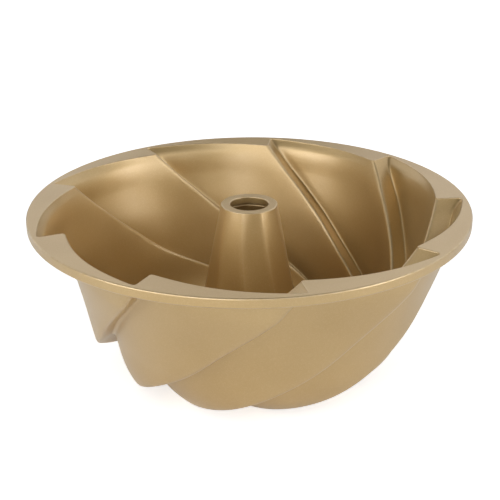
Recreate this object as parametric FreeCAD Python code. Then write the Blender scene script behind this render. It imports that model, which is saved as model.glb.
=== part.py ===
"""Fluted tube cake pan, cast in one piece, modelled as its natural sections.

Frame: millimetres, +Z up, origin on the resting plane, on the axis of the pan.
Nine identical flutes swirl down the wall, across the floor and up to the tube.
A flute is swept along a spine: the crest of the ridge at its clockwise side.
"""
import FreeCAD, Part
import math
import os

Vector = FreeCAD.Vector

# ---- driving dimensions ----------------------------------------------------
FLUTES = 9
RIM_RADIUS = 135.0
HEIGHT = 106.2
FLANGE_THICK = 6.0
FLANGE_ROUND = 1.0        # rounding of the flange's outer edges
WALL = 2.9                # thickness of the casting
RIM_WALL = 2.2            # thinner where the flutes reach the flange's edge
FIRST_TIP = 163.36        # azimuth of the first ridge tip at the rim, degrees
CREST_ROUND = 2.6         # leg of the rounding on top of a ridge
VALLEY_ROUND = 3.0        # leg of the rounding at the deep side of a flute
LOBE_ROUND = 6.2          # the same corner seen from outside
GROOVE_ROUND = 3.0        # leg of the rounding at the bottom of an outer groove
FACET_SOFT = 5.0          # rounding of the tube's upright edges, degrees to each side
RING_ROUND = 0.65         # how far the facets have faded out at the tube's top
LARGEST_STRETCH = 1.8     # limit on the wall's sideways shift where flutes lie flat
VENT_RADIUS = 11.7        # hole at the top of the tube
VENT_LIP = 4.0            # height of the ring round that hole

PITCH = 360.0 / FLUTES

# The spine of a ridge, from the rim to the top of the tube.  Each station gives
# the crest's radius and height, how far it has swirled clockwise, the direction
# in which the flute is recessed (0 outward, 90 down, 180 towards the axis) and
# the depth of the recess.
#            radius  height  swirl   tilt  depth
STATIONS = [(115.7, 106.2, 0.0, 0.0, 17.0),
            (113.3, 100.2, 2.6, 0.0, 13.3),
            (108.0, 87.3, 8.8, 10.0, 13.8),
            (99.9, 65.95, 21.0, 13.6, 11.9),
            (90.4, 43.45, 37.0, 23.0, 12.6),
            (78.3, 26.85, 61.0, 44.1, 16.2),
            (64.8, 18.05, 85.3, 65.4, 15.8),
            (51.3, 15.1, 108.2, 108.7, 12.0),
            (38.5, 29.4, 126.7, 137.4, 9.0),
            (28.1, 55.0, 138.7, 180.0, 0.0),
            (17.5, 106.2, 149.4, 180.0, 0.0)]
FLANGE_BASE = 1.0         # the station at the underside of the flange
FACET_START = 6.5         # from here the sections turn into nine flat facets
TUBE_START = 9.0          # the station where the flutes end and the tube begins


def spacing(i):
    """Length of the crest between stations i and i + 1, seen in profile."""
    p, q = STATIONS[i], STATIONS[i + 1]
    return math.hypot(q[0] - p[0], q[1] - p[1])


def slope(i, column):
    """Rate of change at station i, per millimetre of crest."""
    if i >= TUBE_START:
        return (STATIONS[i + 1][column] - STATIONS[i][column]) / spacing(i)
    lo = max(i - 1, 0)
    length = spacing(i) + (spacing(lo) if lo < i else 0.0)
    return (STATIONS[i + 1][column] - STATIONS[lo][column]) / length


def spine(u):
    """Radius, height, swirl, tilt and depth at station number u."""
    i = min(int(u), len(STATIONS) - 2)
    f = u - i
    out = []
    for column, (p, q) in enumerate(zip(STATIONS[i], STATIONS[i + 1])):
        if i >= TUBE_START:
            out.append(p + (q - p) * f)
            continue
        m, n = slope(i, column) * spacing(i), slope(i + 1, column) * spacing(i)
        out.append((2 * f**3 - 3 * f**2 + 1) * p + (f**3 - 2 * f**2 + f) * m
                   + (3 * f**2 - 2 * f**3) * q + (f**3 - f**2) * n)
    return out


def smooth(x):
    x = min(max(x, 0.0), 1.0)
    return x * x * (3.0 - 2.0 * x)


def stretch(u):
    """How much longer a level cut is than a square cut across the ridge."""
    step = 0.02
    lo, hi = max(u - step, 0.0), min(u + step, len(STATIONS) - 1.0)
    a, b = spine(lo), spine(hi)
    along = math.hypot(b[0] - a[0], b[1] - a[1])
    around = spine(u)[0] * math.radians(b[2] - a[2])
    return math.hypot(1.0, around / along)


def ramp(x):
    """Shape of a flute between two ridges: 0 at its own crest, 1 at the next."""
    return x * (1.177 - 0.263 * x + 0.086 * x * x)


def mix(p, q, f):
    return (p[0] + (q[0] - p[0]) * f, p[1] + (q[1] - p[1]) * f)


def faceting(u):
    """0 where the flutes are saw-toothed, 1 where they have become flat facets."""
    return smooth((u - FACET_START) / (TUBE_START - FACET_START))


def flatness(u):
    """How flat the facets are: they fade out again towards the ring on top."""
    if u <= TUBE_START:
        return faceting(u)
    return 1.0 - RING_ROUND * (u - TUBE_START) / (len(STATIONS) - 1.0 - TUBE_START)


def tooth(u, outside):
    """Poles (along, deep) of one flute's section, from crest to next crest."""
    radius, _, _, _, depth = spine(u)
    width = math.radians(PITCH) * radius
    q = stretch(u)
    wall = RIM_WALL + (WALL - RIM_WALL) * smooth(u - FLANGE_BASE) if outside else 0.0
    top_leg = GROOVE_ROUND if outside else CREST_ROUND
    low_leg = LOBE_ROUND if outside else VALLEY_ROUND
    flute_leg = min(top_leg * q, 0.16 * width)
    step_leg = min(top_leg, 0.3 * depth)
    low_leg_a = min(low_leg * q, 0.40 * width)
    low_leg_d = min(low_leg, 0.55 * depth)

    def flute(a):
        return (a, depth * ramp(a / width))

    corner, before, after = (0.0, 0.0), (0.0, step_leg), flute(flute_leg)
    middle = mix(mix(before, corner, 0.5), mix(corner, after, 0.5), 0.5)
    deep = flute(width - low_leg_a)
    poles = [middle, mix(corner, after, 0.5), after]
    poles += [flute(mix(after, deep, f)[0]) for f in (0.25, 0.5, 0.75)]
    poles += [deep, (width, depth), (width, depth - low_leg_d), (width, step_leg)]
    poles += [(width, step_leg / 2.0), (width + middle[0], middle[1])]
    facet = faceting(u)
    shift = wall * min(q, LARGEST_STRETCH) * (1.0 - facet)
    last = len(poles) - 1.0
    poles = [mix(p, (width * i / last, 0.0), facet) for i, p in enumerate(poles)]
    return [(a + shift, d + wall) for a, d in poles]


def sagitta(angle, radius):
    """How far a flat facet lies inside the circle through its rounded edges."""
    half = math.radians(PITCH / 2.0)
    soft = math.radians(FACET_SOFT)
    edge = half - abs(angle % (2.0 * half) - half)
    if edge < soft:
        edge = edge * edge / (2.0 * soft) + soft / 2.0
    return radius * (1.0 - math.cos(half) / math.cos(half - edge))


def place(u, a, d):
    """Point at a along the section and d deep, for the ridge at azimuth 0."""
    radius, height, swirl, tilt, _ = spine(u)
    angle = a / radius
    d = d + flatness(u) * sagitta(angle, radius)
    r = radius + d * math.cos(math.radians(tilt))
    z = height - d * math.sin(math.radians(tilt))
    phi = angle - math.radians(swirl)
    return Vector(r * math.cos(phi), r * math.sin(phi), z)


def section_curve(u, outside, turn=0.0):
    curve = Part.BSplineCurve()
    curve.buildFromPoles([place(u, a, d) for a, d in tooth(u, outside)], False, 3)
    curve.rotate(FreeCAD.Placement(Vector(), FreeCAD.Rotation(Vector(0, 0, 1), turn)))
    return curve


def ends(edge):
    return edge.Curve.StartPoint, edge.Curve.EndPoint


def flute_section(u):
    inner, outer = section_curve(u, False).toShape(), section_curve(u, True).toShape()
    (i0, i1), (o0, o1) = ends(inner), ends(outer)
    return Part.Wire([inner, Part.makeLine(i1, o1), outer, Part.makeLine(o0, i0)])


def ring_section(u, outside):
    """The closed outline of all nine flutes at one level, three edges to a flute."""
    edges = []
    for k in range(FLUTES):
        for third in range(3):
            curve = section_curve(u, outside, PITCH * k)
            curve.segment(third / 3.0, (third + 1) / 3.0)
            edges.append(curve.toShape())
    return Part.Wire(edges)


def about_axis(shape, degrees):
    copy = shape.copy()
    copy.rotate(Vector(), Vector(0, 0, 1), degrees)
    return copy


def build_flute():
    count = 16
    levels = [FLANGE_BASE + (TUBE_START - FLANGE_BASE) * i / count for i in range(count + 1)]
    return Part.makeLoft([flute_section(u) for u in levels], True, False)


def build_flange():
    """Flat ring whose inner edge is the nine-toothed outline of the cavity."""
    disc = Part.makeCylinder(RIM_RADIUS, FLANGE_THICK, Vector(0, 0, HEIGHT - FLANGE_THICK))
    circles = [e for e in disc.Edges if isinstance(e.Curve, Part.Circle)]
    disc = disc.makeFillet(FLANGE_ROUND, circles)
    cavity = Part.makeLoft([ring_section(u, False) for u in (0.0, FLANGE_BASE)], True, True)
    return disc.cut(cavity)


def build_tube():
    """Nine-facet hollow cone, closed at the top but for the round vent hole."""
    top = len(STATIONS) - 1.0
    rise = STATIONS[-1][1] - STATIONS[-2][1]
    under_lip = top - VENT_LIP / rise
    body = Part.makeLoft([ring_section(u, False) for u in (TUBE_START, top)], True, True)
    hollow = Part.makeLoft([ring_section(u, True) for u in (TUBE_START, under_lip)], True, True)
    vent = Part.makeCylinder(VENT_RADIUS, 2 * VENT_LIP, Vector(0, 0, HEIGHT - 1.5 * VENT_LIP))
    return body.cut(hollow).cut(vent)


def main():
    os.makedirs("parts", exist_ok=True)
    flute = build_flute()
    parts = {"rim_flange": build_flange(), "centre_tube": build_tube()}
    for k in range(FLUTES):
        parts["flute_%d" % (k + 1)] = about_axis(flute, FIRST_TIP + PITCH * k)
    for name, shape in parts.items():
        if name in ("rim_flange", "centre_tube"):
            shape = about_axis(shape, FIRST_TIP)
        shape.exportStep("parts/%s.step" % name)
        print(name, shape.isValid(), len(shape.Solids), round(shape.Volume), shape.BoundBox)


main()
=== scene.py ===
"""Fluted tube cake pan: champagne non-stick coating on one aluminium casting.

Every surface is worked out from the crest of a ridge, as on the CAD part.  Each
visible piece stands for one CAD node, and neighbours share the same edges and
the same shading, so the nine flutes, the rim and the tube read as one casting.
"""
import math
from collections import namedtuple

import bpy
import numpy as np
from mathutils import Matrix, Vector


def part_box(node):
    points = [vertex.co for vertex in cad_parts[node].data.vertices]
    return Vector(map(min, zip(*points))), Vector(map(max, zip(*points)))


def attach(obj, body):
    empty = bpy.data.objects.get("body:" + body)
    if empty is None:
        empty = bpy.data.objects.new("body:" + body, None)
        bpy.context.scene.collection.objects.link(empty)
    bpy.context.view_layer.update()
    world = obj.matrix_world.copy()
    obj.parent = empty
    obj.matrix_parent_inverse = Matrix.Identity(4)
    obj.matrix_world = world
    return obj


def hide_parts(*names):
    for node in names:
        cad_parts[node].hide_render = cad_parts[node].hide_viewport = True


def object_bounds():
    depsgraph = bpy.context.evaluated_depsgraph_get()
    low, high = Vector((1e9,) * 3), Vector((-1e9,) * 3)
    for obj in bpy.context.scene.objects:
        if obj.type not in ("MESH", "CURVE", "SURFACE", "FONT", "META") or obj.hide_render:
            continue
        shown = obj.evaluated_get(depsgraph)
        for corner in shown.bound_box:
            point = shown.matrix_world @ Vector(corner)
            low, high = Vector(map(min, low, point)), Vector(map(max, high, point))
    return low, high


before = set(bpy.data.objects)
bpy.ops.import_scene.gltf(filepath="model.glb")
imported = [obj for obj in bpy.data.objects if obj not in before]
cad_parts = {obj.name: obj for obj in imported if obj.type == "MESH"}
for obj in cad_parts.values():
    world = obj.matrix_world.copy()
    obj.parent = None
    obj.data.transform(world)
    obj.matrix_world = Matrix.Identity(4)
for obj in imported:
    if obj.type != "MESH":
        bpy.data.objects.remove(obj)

CAD_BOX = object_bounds()
MM = 0.001

# ---- dimensions, in metres and degrees --------------------------------------
FLUTES = 9
PITCH = 360.0 / FLUTES
RIM_RADIUS = 135.0 * MM
RIM_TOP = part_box("rim_flange")[1].z
FLANGE_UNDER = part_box("rim_flange")[0].z
FIRST_TIP = 163.36
WALL = 2.9 * MM
RIM_WALL = 2.2 * MM
CREST_ROUND = 2.6 * MM
VALLEY_ROUND = 3.0 * MM
LOBE_ROUND = 6.2 * MM
GROOVE_ROUND = 3.0 * MM
FACET_SOFT = 5.0
RING_ROUND = 0.65         # how far the facets have faded out at the tube's top
LARGEST_STRETCH = 1.8
EDGE_ROUND = 0.7 * MM     # inner edge of the flat rim, and the edges of the tube's ring
FLANGE_ROUND = 1.0 * MM
VENT_RADIUS = 11.7 * MM
VENT_LIP = 4.0 * MM
ROOT_ROUND = 2.5 * MM     # cast fillet between the outer wall and the flange
LIP_LEAD = 0.6            # degrees by which the flat rim's faces lean ahead

# Between two ridges a flute deepens as x (a + b x + c x x), which is 1 at x = 1.
RAMP = (1.177, -0.263, 0.086)
# The legs of a rounding take at most these shares of a flute's width and depth,
# at the crest on top and at the corner on the deep side.
TOP_WIDTH, TOP_DEPTH = 0.16, 0.30
LOW_WIDTH, LOW_DEPTH = 0.40, 0.55
POLES = 12                # poles of the curve across one flute

# The crest of a ridge, from the rim to the top of the tube:
#            radius  height  swirl   tilt  depth    (millimetres and degrees)
STATIONS = [(115.7, 106.2, 0.0, 0.0, 17.0),
            (113.3, 100.2, 2.6, 0.0, 13.3),
            (108.0, 87.3, 8.8, 10.0, 13.8),
            (99.9, 65.95, 21.0, 13.6, 11.9),
            (90.4, 43.45, 37.0, 23.0, 12.6),
            (78.3, 26.85, 61.0, 44.1, 16.2),
            (64.8, 18.05, 85.3, 65.4, 15.8),
            (51.3, 15.1, 108.2, 108.7, 12.0),
            (38.5, 29.4, 126.7, 137.4, 9.0),
            (28.1, 55.0, 138.7, 180.0, 0.0),
            (17.5, 106.2, 149.4, 180.0, 0.0)]
STATIONS = np.array(STATIONS) * [MM, MM, 1.0, 1.0, MM]
FLANGE_BASE, FACET_START, TUBE_START, TUBE_TOP = 1.0, 6.5, 9.0, 10.0

HIGHLIGHT_RADIUS = 1.0 * MM    # edges as sharp as this get the most painted highlight
UP, DOWN = np.array((0.0, 0.0, 1.0)), np.array((0.0, 0.0, -1.0))

# ---- camera, in metres, degrees and millimetres of lens -------------------------
EYE = (0.0, -0.6430, 0.3513)
LOOK_AT = (0.00027, 0.0, 0.0750)
CAMERA_ROLL = -0.405
LENS, SENSOR = 80.65, 36.0

# ---- light ------------------------------------------------------------------------
WORLD = 0.036             # brightness of the surroundings
FLOOR_SIZE = 12.0
FLOOR_GAP = 0.2 * MM      # how far the floor lies below the pan
FLOOR_WHITE = 0.8         # share of the light that the floor sends back
FLOOR_BOUNCE = 0.14       # light that the floor adds to the pan
FLOOR_GLOW = 0.64         # light that it adds where the camera sees it directly
FLOOR_ROUGH, FLOOR_SHINE = 0.9, 0.1
LAMP_DISTANCE = 1.6
#             azimuth  elevation  diameter  watts
SOFTBOXES = [(0.0, 35.0, 1.5, 4.6),
             (60.0, 35.0, 1.5, 4.9),
             (120.0, 35.0, 1.5, 4.6),
             (180.0, 35.0, 1.5, 2.3),
             (240.0, 35.0, 1.5, 9.6),
             (300.0, 35.0, 1.5, 4.6),
             (90.0, 60.0, 1.5, 0.8),
             (30.0, 10.0, 0.6, 0.9),
             (150.0, 10.0, 0.6, 1.3),
             (210.0, 13.0, 0.7, 5.4),
             (255.0, 6.0, 0.6, 3.6),
             (330.0, 13.0, 0.7, 6.2)]

# ---- finish -----------------------------------------------------------------------
COAT_DEEP = (0.545, 0.366, 0.138, 1.0)
COAT_PALE = (0.595, 0.413, 0.172, 1.0)
COAT_SHADE = (0.43, 0.280, 0.102, 1.0)
FLAKE = (0.78, 0.62, 0.36, 1.0)
# painted highlight: the next colour is laid along convex edges and roundings, where the light
# catches them
EDGE_HIGHLIGHT = (0.80, 0.68, 0.50, 1.0)
FLAKE_SHOW, GRAIN_SHOW, EDGE_HIGHLIGHT_SHOW = 0.16, 0.14, 0.35
UNEVEN_SIZE = 55.0 * MM   # slow unevenness of the spray
PEEL_SIZE = 3.2 * MM      # orange peel
GRAIN_SIZE = 0.6 * MM
FLAKE_SIZE = 0.45 * MM
NOISE_LOW, NOISE_HIGH = 0.35, 0.65   # between these a pattern changes the colour
ROUGH_LOW, ROUGH_HIGH = 0.3, 0.7     # between these the grain changes the roughness
FLAKE_FEW = 0.55          # flakes below this brightness don't show
HIGHLIGHT_LEAST = 0.45         # painted edge highlight in the hollows of the orange peel
HIGHLIGHT_FULL = 0.6           # height of the orange peel from which the painted edge highlight is full
METALLIC = 0.88
BASE_ROUGH, ROUGH_SWING = 0.46, 0.05
EDGE_POLISH = 0.08        # how much smoother an edge with painted highlight is
GRAIN_BUMP, GRAIN_RELIEF = 0.10, 0.25 * MM
PEEL_BUMP, PEEL_RELIEF = 0.08, 0.5 * MM
COAT_WEIGHT, COAT_ROUGH, COAT_IOR = 1.0, 0.32, 1.75

# ---- mesh density -------------------------------------------------------------
ACROSS = 44               # faces across one flute
ALONG = 18                # faces from one station to the next
TUBE_ALONG = 2 * ALONG    # faces from the foot of the tube to its top
ROUND_STEPS = 5           # faces round a rounded edge
FLANGE_ROWS = 5           # rows of points up the cavity's face in the flange
LAND_STEPS = 3            # faces across a flat ring
LEDGE_STEPS = 2           # faces across the underside of the tube's ring
HALVINGS = 40             # halvings of the span in which a level is looked for
STRETCH_STEP = 0.02       # part of a station to either side, to measure a slope
NORMAL_STEP = 0.01        # the same, to measure a surface's direction
WELD = 2e-7               # points nearer than this are one


# ---- the shape ----------------------------------------------------------------
def smooth(x):
    x = np.clip(x, 0.0, 1.0)
    return x * x * (3.0 - 2.0 * x)


def spine(u):
    """Radius, height, swirl, tilt and depth at station number u."""
    gaps = np.hypot(*np.diff(STATIONS[:, :2], axis=0).T)
    i = min(int(u), len(STATIONS) - 2)
    f = u - i
    p, q = STATIONS[i], STATIONS[i + 1]
    if i >= TUBE_START:
        return p + (q - p) * f

    def slope(j):
        if j >= TUBE_START:
            return (STATIONS[j + 1] - STATIONS[j]) / gaps[j]
        k = max(j - 1, 0)
        return (STATIONS[j + 1] - STATIONS[k]) / gaps[k:j + 1].sum()

    m, n = slope(i) * gaps[i], slope(i + 1) * gaps[i]
    return ((2 * f**3 - 3 * f**2 + 1) * p + (f**3 - 2 * f**2 + f) * m
            + (3 * f**2 - 2 * f**3) * q + (f**3 - f**2) * n)


def stretch(u):
    """How much longer a level cut is than a square cut across the ridge."""
    a, b = spine(max(u - STRETCH_STEP, 0.0)), spine(min(u + STRETCH_STEP, TUBE_TOP))
    along = math.hypot(b[0] - a[0], b[1] - a[1])
    return math.hypot(1.0, spine(u)[0] * math.radians(b[2] - a[2]) / along)


def ramp(x):
    """Shape of a flute between two ridges: 0 at its own crest, 1 at the next."""
    return x * (RAMP[0] + RAMP[1] * x + RAMP[2] * x * x)


def faceting(u):
    """0 where the flutes are saw-toothed, 1 where they have become flat facets."""
    return smooth((u - FACET_START) / (TUBE_START - FACET_START))


def flatness(u):
    """How flat the facets are: they fade out again towards the ring on top."""
    if u <= TUBE_START:
        return faceting(u)
    return 1.0 - RING_ROUND * (u - TUBE_START) / (TUBE_TOP - TUBE_START)


def tooth(u, outside):
    """Poles (along, deep) of one flute's section, from crest to next crest."""
    radius, _, _, _, depth = spine(u)
    width = math.radians(PITCH) * radius
    q = stretch(u)
    wall = RIM_WALL + (WALL - RIM_WALL) * smooth(u - FLANGE_BASE) if outside else 0.0
    top_leg = GROOVE_ROUND if outside else CREST_ROUND
    low_leg = LOBE_ROUND if outside else VALLEY_ROUND
    flute_leg = min(top_leg * q, TOP_WIDTH * width)
    step_leg = min(top_leg, TOP_DEPTH * depth)
    low_leg_a = min(low_leg * q, LOW_WIDTH * width)
    low_leg_d = min(low_leg, LOW_DEPTH * depth)

    def flute(a):
        return np.array((a, depth * ramp(a / width)))

    corner, before, after = np.zeros(2), np.array((0.0, step_leg)), flute(flute_leg)
    middle = (before + 2.0 * corner + after) / 4.0
    deep = flute(width - low_leg_a)
    poles = [middle, (corner + after) / 2.0, after]
    poles += [flute(after[0] + (deep[0] - after[0]) * f) for f in (0.25, 0.5, 0.75)]
    poles += [deep, (width, depth), (width, depth - low_leg_d), (width, step_leg)]
    poles += [(width, step_leg / 2.0), (width + middle[0], middle[1])]
    poles = np.array(poles)
    facet = faceting(u)
    even = np.zeros_like(poles)
    even[:, 0] = np.linspace(0.0, width, len(poles))
    shift = wall * min(q, LARGEST_STRETCH) * (1.0 - facet)
    return poles + (even - poles) * facet + (shift, wall)


def sagitta(angle, radius):
    """How far a flat facet lies inside the circle through its rounded edges."""
    half, soft = math.radians(PITCH / 2.0), math.radians(FACET_SOFT)
    edge = half - np.abs(angle % (2.0 * half) - half)
    edge = np.where(edge < soft, edge * edge / (2.0 * soft) + soft / 2.0, edge)
    return radius * (1.0 - math.cos(half) / np.cos(half - edge))


def place(u, poles):
    """The poles of a section in space, for the ridge at azimuth 0."""
    radius, height, swirl, tilt, _ = spine(u)
    angle = poles[:, 0] / radius
    deep = poles[:, 1] + flatness(u) * sagitta(angle, radius)
    r = radius + deep * math.cos(math.radians(tilt))
    z = height - deep * math.sin(math.radians(tilt))
    phi = angle - math.radians(swirl)
    return np.stack([r * np.cos(phi), r * np.sin(phi), z], 1)


def spline_weights(poles, samples, degree=3):
    """Weights of a clamped uniform B-spline's poles at evenly spaced samples."""
    inner = np.linspace(0.0, 1.0, poles - degree + 1)
    knots = np.concatenate([np.zeros(degree), inner, np.ones(degree)])
    t = np.linspace(0.0, 1.0, samples)
    n = np.array([(t >= a) & (t < b) for a, b in zip(knots[:-1], knots[1:])], float)
    n[poles - 1, -1] = 1.0
    for p in range(1, degree + 1):
        m = np.zeros((len(n) - 1, samples))
        for i in range(len(m)):
            left, right = knots[i + p] - knots[i], knots[i + p + 1] - knots[i + 1]
            if left > 0:
                m[i] += (t - knots[i]) / left * n[i]
            if right > 0:
                m[i] += (knots[i + p + 1] - t) / right * n[i + 1]
        n = m
    return n.T


def turned(points, degrees):
    c, s = math.cos(math.radians(degrees)), math.sin(math.radians(degrees))
    return points @ np.array([[c, s, 0.0], [-s, c, 0.0], [0.0, 0.0, 1.0]])


WEIGHTS = spline_weights(POLES, ACROSS + 1)


def surface(levels, outside):
    """Grid of points (level, across, xyz) over all nine flutes."""
    sector = np.array([WEIGHTS @ place(u, tooth(u, outside)) for u in levels])
    turns = [FIRST_TIP + PITCH * k for k in range(FLUTES)]
    return np.concatenate([turned(sector[:, :-1], turn) for turn in turns], 1)


def inner(levels):
    return surface(levels, False)


def outer(levels):
    """The outer side, with a small cast fillet where it meets the flange."""
    grid = surface(levels, True)
    near = np.clip(1.0 - (FLANGE_UNDER - grid[..., 2]) / ROOT_ROUND, 0.0, 1.0)
    flare = ROOT_ROUND * (1.0 - np.sqrt(1.0 - near**2))
    grid[..., :2] *= (1.0 + flare / np.linalg.norm(grid[..., :2], axis=2))[..., None]
    return grid


# ---- skins: rows of points once round the axis ----------------------------------
Skin = namedtuple("Skin", "points normals wear")


def skin(points, normals, wear=0.0):
    """Rows of points, with a normal and a painted edge highlight from 0 to 1 for each."""
    wear = np.broadcast_to(wear, points.shape[:2])
    return Skin(points, np.broadcast_to(normals, points.shape), wear)


def cut_rows(whole, order):
    return Skin(*[part[order] for part in whole])


def cut_columns(whole, k):
    """The columns of flute k, counted from 0, with both of its borders."""
    which = np.arange(k * ACROSS, (k + 1) * ACROSS + 1)
    return Skin(*[np.take(part, which, axis=1, mode="wrap") for part in whole])


def unit(vectors):
    return vectors / np.maximum(np.linalg.norm(vectors, axis=-1, keepdims=True), 1e-12)


def swept(shape, levels, side):
    """The skin of a shape at some levels, with its normals to one side."""
    points = shape(levels)
    following, previous = np.roll(points, -1, 1), np.roll(points, 1, 1)
    up = shape(levels + NORMAL_STEP) - shape(levels - NORMAL_STEP)
    normals = side * unit(np.cross(up, following - previous))
    bend = np.einsum("ijk,ijk->ij", 2.0 * points - following - previous, normals)
    length = np.linalg.norm(following - previous, axis=2) / 2.0
    # painted highlight: the tighter a convex bend, the more of it its points get
    return skin(points, normals, np.clip(bend / length**2 * HIGHLIGHT_RADIUS, 0.0, 1.0))


def circle(angles, radius, height):
    level = np.full_like(angles, height)
    return np.stack([radius * np.cos(angles), radius * np.sin(angles), level], 1)


def rounding(line, outward, radius, height):
    """The skin that turns an upright wall over into a flat top, with the most painted highlight
    halfway.
    """
    turns = np.linspace(0.0, math.pi / 2.0, ROUND_STEPS + 1)[:, None, None]
    points = line - outward * radius * (1.0 - np.cos(turns))
    points[..., 2:] = height - radius * (1.0 - np.sin(turns))
    normals = outward * np.cos(turns) + UP * np.sin(turns)
    # painted highlight along the rounding, strongest halfway round it
    wear = np.clip(HIGHLIGHT_RADIUS / radius, 0.0, 1.0) * np.sin(2.0 * turns[..., 0])
    return skin(points, normals, wear)


def flat(first, last, normal, steps=1):
    """A level strip between two lines."""
    f = np.linspace(0.0, 1.0, steps + 1)[:, None, None]
    return skin(first + (last - first) * f, normal)


def left_of(line):
    """Level unit vectors to the left of a closed line."""
    step = np.roll(line, -1, 0) - np.roll(line, 1, 0)
    return unit(np.stack([-step[:, 1], step[:, 0], np.zeros(len(step))], 1))


class Shell:
    """Skins that become one mesh, welded where their points meet, with their own normals."""

    def __init__(self):
        self.skins, self.faces, self.count = [], [], 0

    def add(self, part, flip=False, closed=True):
        rows, columns = part.points.shape[:2]
        index = np.arange(rows * columns).reshape(rows, columns) + self.count
        if closed:
            index = np.concatenate([index, index[:, :1]], 1)
        a, b, c, d = index[:-1, :-1], index[:-1, 1:], index[1:, 1:], index[1:, :-1]
        quads = np.stack([a, d, c, b] if flip else [a, b, c, d], -1)
        self.faces.append(quads.reshape(-1, 4))
        self.skins.append(part)
        self.count += rows * columns

    def mesh(self, name):
        points = np.concatenate([s.points.reshape(-1, 3) for s in self.skins])
        normals = np.concatenate([s.normals.reshape(-1, 3) for s in self.skins])
        wear = np.concatenate([s.wear.reshape(-1) for s in self.skins])
        keys = np.round(points / WELD).astype(np.int64)
        _, first, same = np.unique(keys, axis=0, return_index=True, return_inverse=True)
        same = same.reshape(-1)
        polygons, shading = [], []
        for quad in np.concatenate(self.faces):
            corners = {int(same[v]): v for v in quad}
            if len(corners) > 2:
                polygons.append(list(corners))
                shading.extend(corners.values())
        data = bpy.data.meshes.new(name)
        data.from_pydata(points[first].tolist(), [], polygons)
        data.polygons.foreach_set("use_smooth", [True] * len(data.polygons))
        # the painted edge highlight goes to the shader as a point attribute
        data.attributes.new("wear", "FLOAT", "POINT").data.foreach_set("value", wear[first])
        data.normals_split_custom_set(normals[shading].tolist())
        data.update()
        return data


# ---- the pieces -----------------------------------------------------------------
def level_at(height, first, last):
    """Station number between first and last where the crest is at a height."""
    for _ in range(HALVINGS):
        middle = (first + last) / 2.0
        if (spine(middle)[1] > height) == (spine(first)[1] > height):
            first = middle
        else:
            last = middle
    return first


def flute_levels():
    """Close together on the cast fillet, then evenly spaced down to the tube."""
    turns = np.linspace(math.pi / 2.0, 0.0, ROUND_STEPS + 1)
    drops = ROOT_ROUND * (1.0 - np.sin(turns))
    root = [level_at(FLANGE_UNDER - drop, FLANGE_BASE, FLANGE_BASE + 1.0) for drop in drops[1:]]
    even = np.linspace(root[-1], TUBE_START, int((TUBE_START - root[-1]) * ALONG) + 1)
    return np.concatenate([[FLANGE_BASE], root, even[1:]])


LEVELS = flute_levels()
INSIDE, OUTSIDE = swept(inner, LEVELS, -1.0), swept(outer, LEVELS, 1.0)


def add_piece(shell, node, material):
    """A visible piece that stands for one CAD node."""
    piece = bpy.data.objects.new(node + "_cast", shell.mesh(node + "_cast"))
    bpy.context.collection.objects.link(piece)
    piece.data.materials.append(material)
    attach(piece, "root")
    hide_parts(node)


def flute(k, material):
    """Cavity skin, outer skin, and the faces where the flute joins the rest."""
    inside, outside = cut_columns(INSIDE, k), cut_columns(OUTSIDE, k)
    shell = Shell()
    shell.add(inside, closed=False)
    shell.add(outside, flip=True, closed=False)
    shell.add(flat(outside.points[0], inside.points[0], UP), closed=False)
    shell.add(flat(inside.points[-1], outside.points[-1], UP), closed=False)
    for column, side in ((0, -1.0), (-1, 1.0)):
        edges = np.stack([inside.points[:, column], outside.points[:, column]], 1)
        along = np.gradient(edges[:, 0], axis=0)
        across = side * unit(np.cross(edges[:, 1] - edges[:, 0], along))
        shell.add(skin(edges, across[:, None]), flip=side < 0, closed=False)
    add_piece(shell, "flute_%d" % (k + 1), material)


def lip_angles(line):
    """Azimuths that spread a toothed line's points evenly round the lip."""
    lengths = np.linalg.norm(np.roll(line, -1, 0) - line, axis=1)[:ACROSS]
    travelled = np.concatenate([[0.0], np.cumsum(lengths)]) / lengths.sum()
    deepest = np.linalg.norm(line[:ACROSS], axis=1).argmax()
    turn = travelled[:-1] + 1.0 - travelled[deepest]
    turns = np.concatenate([turn + k for k in range(FLUTES)])
    return math.atan2(line[0, 1], line[0, 0]) + np.radians(turns * PITCH - LIP_LEAD)


def flange(material):
    """The flat rim: toothed inner edge, rounded lip and underside."""
    top = level_at(RIM_TOP - EDGE_ROUND, 0.0, FLANGE_BASE)
    wall = swept(inner, np.linspace(FLANGE_BASE, top, FLANGE_ROWS), -1.0)
    edge = rounding(wall.points[-1], left_of(wall.points[-1]), EDGE_ROUND, RIM_TOP)
    angles = lip_angles(edge.points[-1])
    radial = circle(angles, 1.0, 0.0)
    lip = rounding(RIM_RADIUS * radial, radial, FLANGE_ROUND, RIM_TOP)
    mirror = np.array((1.0, 1.0, -1.0))
    under_lip = lip._replace(points=lip.points * mirror + UP * (RIM_TOP + FLANGE_UNDER),
                             normals=lip.normals * mirror)
    shell = Shell()
    shell.add(wall, flip=True)
    shell.add(edge, flip=True)
    shell.add(flat(edge.points[-1], lip.points[-1], UP, LAND_STEPS), flip=True)
    shell.add(cut_rows(lip, slice(None, None, -1)), flip=True)
    shell.add(skin(np.stack([lip.points[0], under_lip.points[0]]), radial), flip=True)
    shell.add(under_lip, flip=True)
    shell.add(flat(under_lip.points[-1], OUTSIDE.points[0], DOWN, LAND_STEPS), flip=True)
    shell.add(flat(OUTSIDE.points[0], wall.points[0], DOWN), flip=True)
    add_piece(shell, "rim_flange", material)


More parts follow.
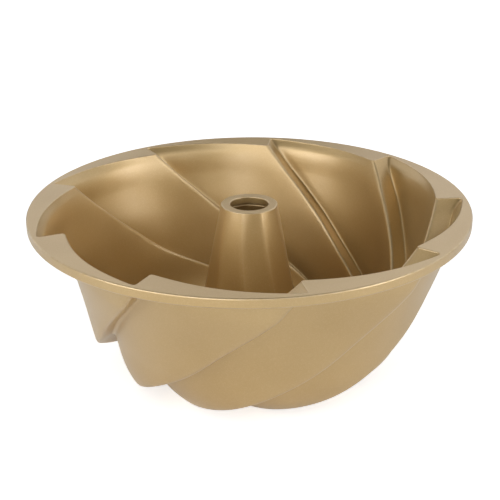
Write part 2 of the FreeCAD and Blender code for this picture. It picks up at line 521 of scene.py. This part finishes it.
def tube(material):
    """Nine-facet hollow cone with a flat ring and a round vent at the top."""
    top = level_at(RIM_TOP - EDGE_ROUND, TUBE_START, TUBE_TOP)
    lip = level_at(RIM_TOP - VENT_LIP, TUBE_START, TUBE_TOP)
    wall = swept(inner, np.linspace(TUBE_START, top, TUBE_ALONG), -1.0)
    hollow = swept(outer, np.linspace(lip, TUBE_START, TUBE_ALONG), 1.0)
    edge = rounding(wall.points[-1], -left_of(wall.points[-1]), EDGE_ROUND, RIM_TOP)
    angles = np.arctan2(edge.points[-1][:, 1], edge.points[-1][:, 0])
    radial = circle(angles, 1.0, 0.0)
    vent = rounding(VENT_RADIUS * radial, -radial, EDGE_ROUND, RIM_TOP)
    vent_under = circle(angles, VENT_RADIUS, RIM_TOP - VENT_LIP)
    shell = Shell()
    shell.add(wall)
    shell.add(edge)
    shell.add(flat(edge.points[-1], vent.points[-1], UP, LAND_STEPS))
    shell.add(cut_rows(vent, slice(None, None, -1)))
    shell.add(skin(np.stack([vent.points[0], vent_under]), -radial))
    shell.add(flat(vent_under, hollow.points[0], DOWN, LEDGE_STEPS))
    shell.add(hollow)
    shell.add(flat(hollow.points[-1], wall.points[0], DOWN))
    add_piece(shell, "centre_tube", material)


# ---- materials --------------------------------------------------------------------
def add_node(tree, kind, inputs, **settings):
    """A shader node; each input is a number, a colour or another node's output."""
    made = tree.nodes.new("ShaderNode" + kind)
    for name, value in settings.items():
        setattr(made, name, value)
    for socket, value in inputs.items():
        if isinstance(value, bpy.types.NodeSocket):
            tree.links.new(value, made.inputs[socket])
        else:
            made.inputs[socket].default_value = value
    return made


def noise(tree, where, size, detail=2.0, roughness=0.5):
    """Noise whose features are about as large as the given size, in metres."""
    inputs = {"Vector": where, "Scale": 1.0 / size, "Detail": detail, "Roughness": roughness}
    return add_node(tree, "TexNoise", inputs).outputs["Fac"]


def spread(tree, value, low, high, to_low, to_high):
    inputs = {"Value": value, "From Min": low, "From Max": high, "To Min": to_low, "To Max": to_high}
    return add_node(tree, "MapRange", inputs).outputs["Result"]


def times(tree, a, b):
    return add_node(tree, "Math", {0: a, 1: b}, operation="MULTIPLY").outputs[0]


def blended(tree, factor, a, b, blend="MIX"):
    made = add_node(tree, "Mix", {0: factor, 6: a, 7: b}, data_type="RGBA", blend_type=blend)
    return made.outputs[2]


def new_material(name):
    material = bpy.data.materials.new(name)
    material.use_nodes = True
    return material, material.node_tree, material.node_tree.nodes["Principled BSDF"]


def coated_aluminium():
    """Champagne non-stick coat with metal flakes, sprayed on a cast surface, with a painted
    highlight along its edges.
    """
    material, tree, shader = new_material("champagne_coat")
    where = add_node(tree, "TexCoord", {}).outputs["Object"]
    uneven = noise(tree, where, UNEVEN_SIZE)
    grain = noise(tree, where, GRAIN_SIZE, detail=3.0, roughness=0.65)
    peel = noise(tree, where, PEEL_SIZE)
    flakes = add_node(tree, "TexVoronoi", {"Vector": where, "Scale": 1.0 / FLAKE_SIZE})
    glint = add_node(tree, "SeparateColor", {0: flakes.outputs["Color"]}).outputs[0]
    # painted highlight: the edge attribute, broken up by the orange peel, lightens the coat along
    # convex edges and makes them smoother
    wear = add_node(tree, "Attribute", {}, attribute_name="wear").outputs["Fac"]
    highlighted_edge = times(tree, wear, spread(tree, peel, NOISE_LOW, HIGHLIGHT_FULL, HIGHLIGHT_LEAST, 1.0))

    pale = spread(tree, uneven, NOISE_LOW, NOISE_HIGH, 0.0, 1.0)
    coat = blended(tree, pale, COAT_DEEP, COAT_PALE)
    coat = blended(tree, spread(tree, glint, FLAKE_FEW, 1.0, 0.0, FLAKE_SHOW), coat, FLAKE)
    shaded = spread(tree, grain, NOISE_LOW, NOISE_HIGH, GRAIN_SHOW, 0.0)
    coat = blended(tree, shaded, coat, COAT_SHADE)
    # painted highlight laid over the coat along the edges
    coat = blended(tree, times(tree, highlighted_edge, EDGE_HIGHLIGHT_SHOW), coat, EDGE_HIGHLIGHT)
    tree.links.new(coat, shader.inputs["Base Color"])

    rough = spread(tree, grain, ROUGH_LOW, ROUGH_HIGH,
                   BASE_ROUGH - ROUGH_SWING, BASE_ROUGH + ROUGH_SWING)
    polish = times(tree, highlighted_edge, EDGE_POLISH)
    rough = add_node(tree, "Math", {0: rough, 1: polish}, operation="SUBTRACT")
    tree.links.new(rough.outputs[0], shader.inputs["Roughness"])
    fine = add_node(tree, "Bump", {"Height": grain, "Strength": GRAIN_BUMP,
                                   "Distance": GRAIN_RELIEF})
    wavy = add_node(tree, "Bump", {"Height": peel, "Strength": PEEL_BUMP,
                                   "Distance": PEEL_RELIEF, "Normal": fine.outputs[0]})
    tree.links.new(wavy.outputs[0], shader.inputs["Normal"])
    shader.inputs["Metallic"].default_value = METALLIC
    shader.inputs["Coat Weight"].default_value = COAT_WEIGHT
    shader.inputs["Coat Roughness"].default_value = COAT_ROUGH
    shader.inputs["Coat IOR"].default_value = COAT_IOR
    return material


# ---- the studio ---------------------------------------------------------------------
def floor():
    """A pale floor that reads as white, as a lit studio sweep does."""
    material, tree, shader = new_material("white_floor")
    shader.inputs["Base Color"].default_value = (FLOOR_WHITE, FLOOR_WHITE, FLOOR_WHITE, 1.0)
    shader.inputs["Roughness"].default_value = FLOOR_ROUGH
    shader.inputs["Specular IOR Level"].default_value = FLOOR_SHINE
    seen = add_node(tree, "LightPath", {}).outputs["Is Camera Ray"]
    shader.inputs["Emission Color"].default_value = (1.0, 1.0, 1.0, 1.0)
    glow = spread(tree, seen, 0.0, 1.0, FLOOR_BOUNCE, FLOOR_GLOW)
    tree.links.new(glow, shader.inputs["Emission Strength"])
    bpy.ops.mesh.primitive_plane_add(size=FLOOR_SIZE, location=(0.0, 0.0, CAD_BOX[0].z - FLOOR_GAP))
    plane = bpy.context.object
    plane.name = "studio_floor"
    plane.data.materials.append(material)


def looking(eye, target, roll=0.0):
    """Where a camera or lamp stands: it looks along its own -Z, turned by roll degrees."""
    ahead = (Vector(target) - Vector(eye)).normalized()
    right = ahead.cross(Vector((0.0, 0.0, 1.0))).normalized()
    stand = Matrix((right, right.cross(ahead), -ahead)).transposed()
    stand = stand @ Matrix.Rotation(math.radians(roll), 3, "Z")
    return Matrix.Translation(Vector(eye)) @ stand.to_4x4()


def softbox(azimuth, elevation, size, power):
    """A round soft light that faces the pan, seen from it at the given angles."""
    light = bpy.data.lights.new("softbox", "AREA")
    light.shape, light.size, light.energy = "DISK", size, power
    lamp = bpy.data.objects.new("softbox", light)
    bpy.context.collection.objects.link(lamp)
    a, e = math.radians(azimuth), math.radians(elevation)
    way = Vector((math.cos(e) * math.cos(a), math.cos(e) * math.sin(a), math.sin(e)))
    lamp.matrix_world = looking(way * LAMP_DISTANCE, (0.0, 0.0, RIM_TOP / 2.0))


def surroundings(brightness):
    world = bpy.data.worlds.new("studio")
    world.use_nodes = True
    world.node_tree.nodes["Background"].inputs["Color"].default_value = (1.0, 1.0, 1.0, 1.0)
    world.node_tree.nodes["Background"].inputs["Strength"].default_value = brightness
    bpy.context.scene.world = world


def camera():
    lens = bpy.data.cameras.new("view")
    lens.lens, lens.sensor_width = LENS, SENSOR
    holder = bpy.data.objects.new("view", lens)
    bpy.context.collection.objects.link(holder)
    holder.matrix_world = looking(EYE, LOOK_AT, CAMERA_ROLL)
    bpy.context.scene.camera = holder


CASTING = coated_aluminium()
flange(CASTING)
for number in range(FLUTES):
    flute(number, CASTING)
tube(CASTING)
floor()
surroundings(WORLD)
for azimuth, elevation, size, power in SOFTBOXES:
    softbox(azimuth, elevation, size, power)
camera()
bpy.context.scene.view_settings.view_transform = "Standard"

bpy.context.view_layer.update()
